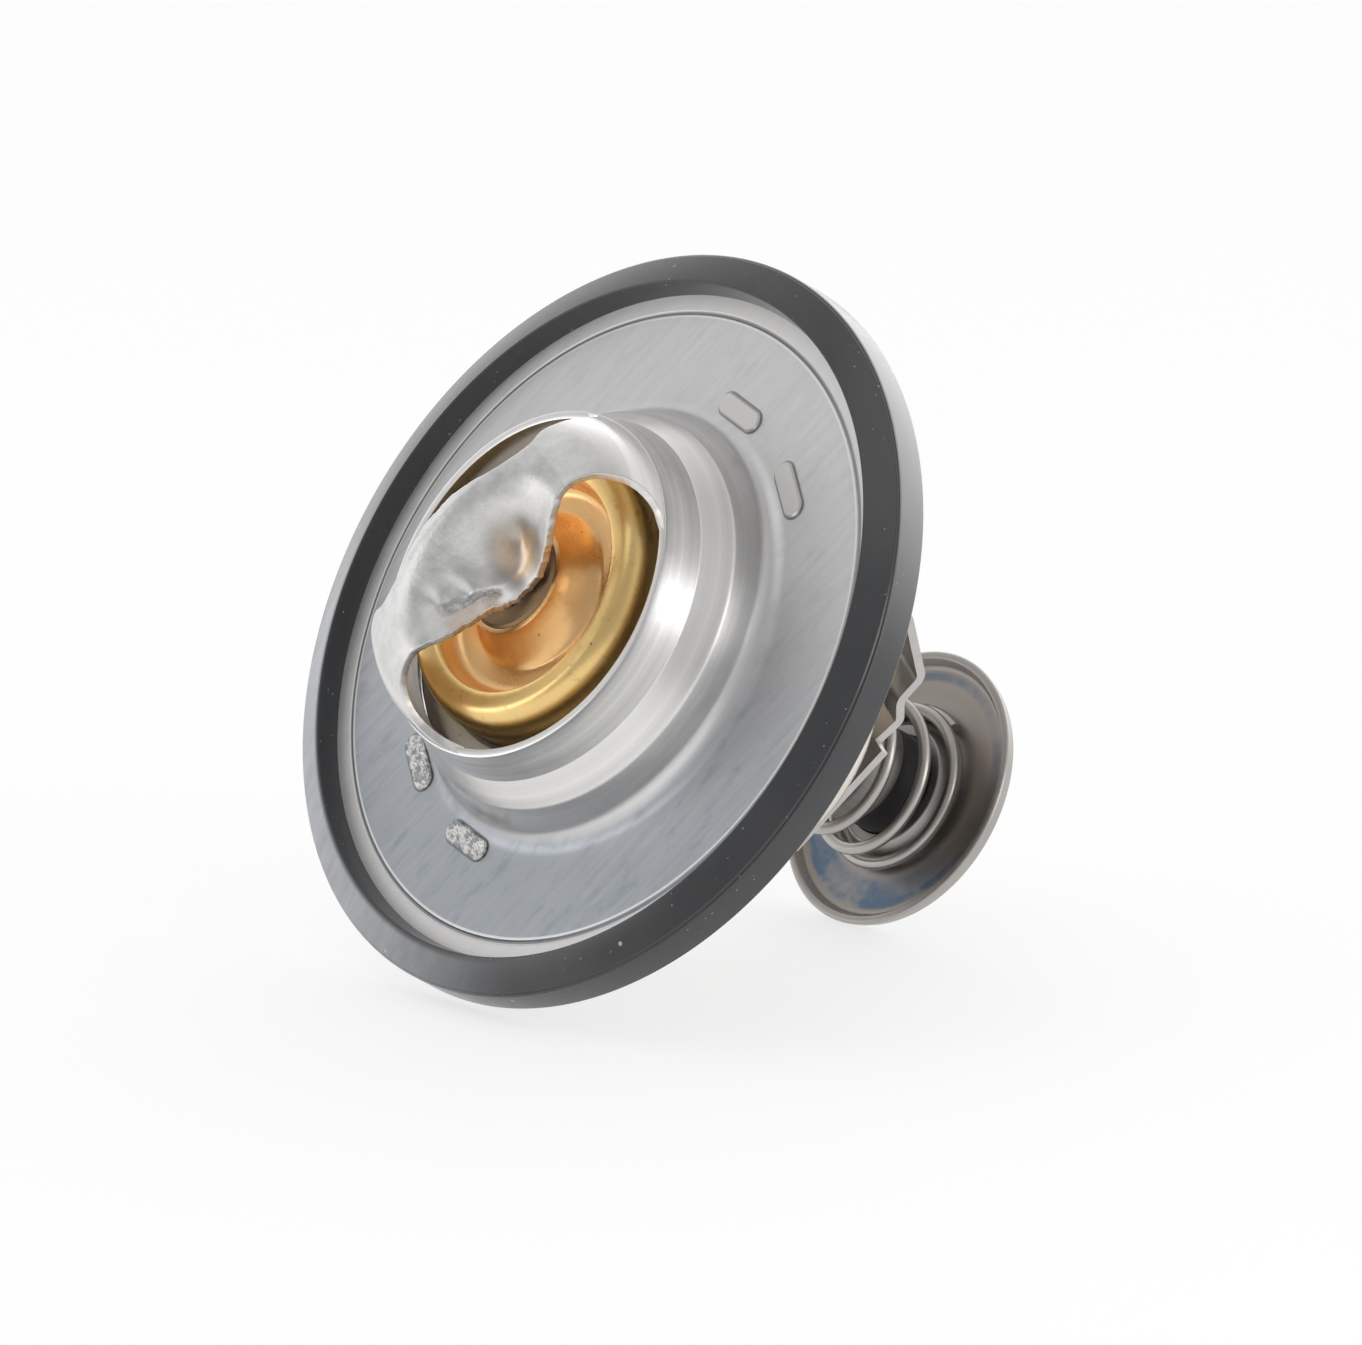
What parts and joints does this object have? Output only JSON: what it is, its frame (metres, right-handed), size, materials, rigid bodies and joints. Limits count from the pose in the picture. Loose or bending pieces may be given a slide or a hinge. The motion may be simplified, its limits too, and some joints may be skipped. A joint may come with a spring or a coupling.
{
  "type": "engine thermostat",
  "caption": "Engine coolant thermostat: rubber-rimmed steel flange with a domed seat, brass valve on a wax element, spring frame, and a sprung bypass valve on the stem.",
  "frame": {"origin": "on the axis, in the plane of the flange's front face", "axes": "+Z along the axis towards the dome; +X along the strap and the spring frame's legs"},
  "size_m": [0.067, 0.067, 0.0577],
  "materials": {
    "stainless": "satin brushed stainless, stamped",
    "gasket_rubber": "matte moulded rubber with fine dust",
    "valve_brass": "polished brass with scratches and a copper-toned recess",
    "guide_bronze": "matte turned bronze",
    "pin_steel": "ground and polished steel",
    "seal_rubber": "smooth moulded rubber",
    "washer_white": "turned fluoropolymer",
    "capsule_brass": "drawn brass, dull",
    "wax": "solid wax with copper powder",
    "spring_steel": "drawn spring wire, pale",
    "frame_steel": "stamped stainless, satin",
    "stem_steel": "turned steel with fine streaks",
    "bush_black": "moulded black polymer",
    "bypass_steel": "stamped stainless with blue heat tint"
  },
  "bodies": {
    "housing": {"flange_housing": "stainless", "rim_gasket": "gasket_rubber", "piston": "pin_steel", "spring_frame": "frame_steel"},
    "element": {"main_valve": "valve_brass", "guide_bush": "guide_bronze", "piston_seal": "seal_rubber", "sleeve_washer": "washer_white", "rubber_sleeve": "seal_rubber", "wax_capsule": "capsule_brass", "wax_charge": "wax", "main_spring": "spring_steel", "element_stem": "stem_steel", "spring_seat": "stem_steel", "stem_bush": "bush_black", "retaining_washer": "stem_steel", "retaining_clip": "spring_steel"},
    "bypass": {"bypass_valve": "bypass_steel", "bypass_spring": "spring_steel"}
  },
  "joints": [
    {"name": "valve_stroke", "type": "slide", "parent": "housing", "child": "element", "axis": [0, 0, -1], "range_m": [0, 0.008], "stiffness_N_per_m": 3000, "springref_m": -0.01, "deforming": ["main_spring"]},
    {"name": "bypass_float", "type": "slide", "parent": "element", "child": "bypass", "axis": [0, 0, 1], "range_m": [0, 0.0034], "stiffness_N_per_m": 1500, "springref_m": -0.006, "deforming": ["bypass_spring"]}
  ]
}
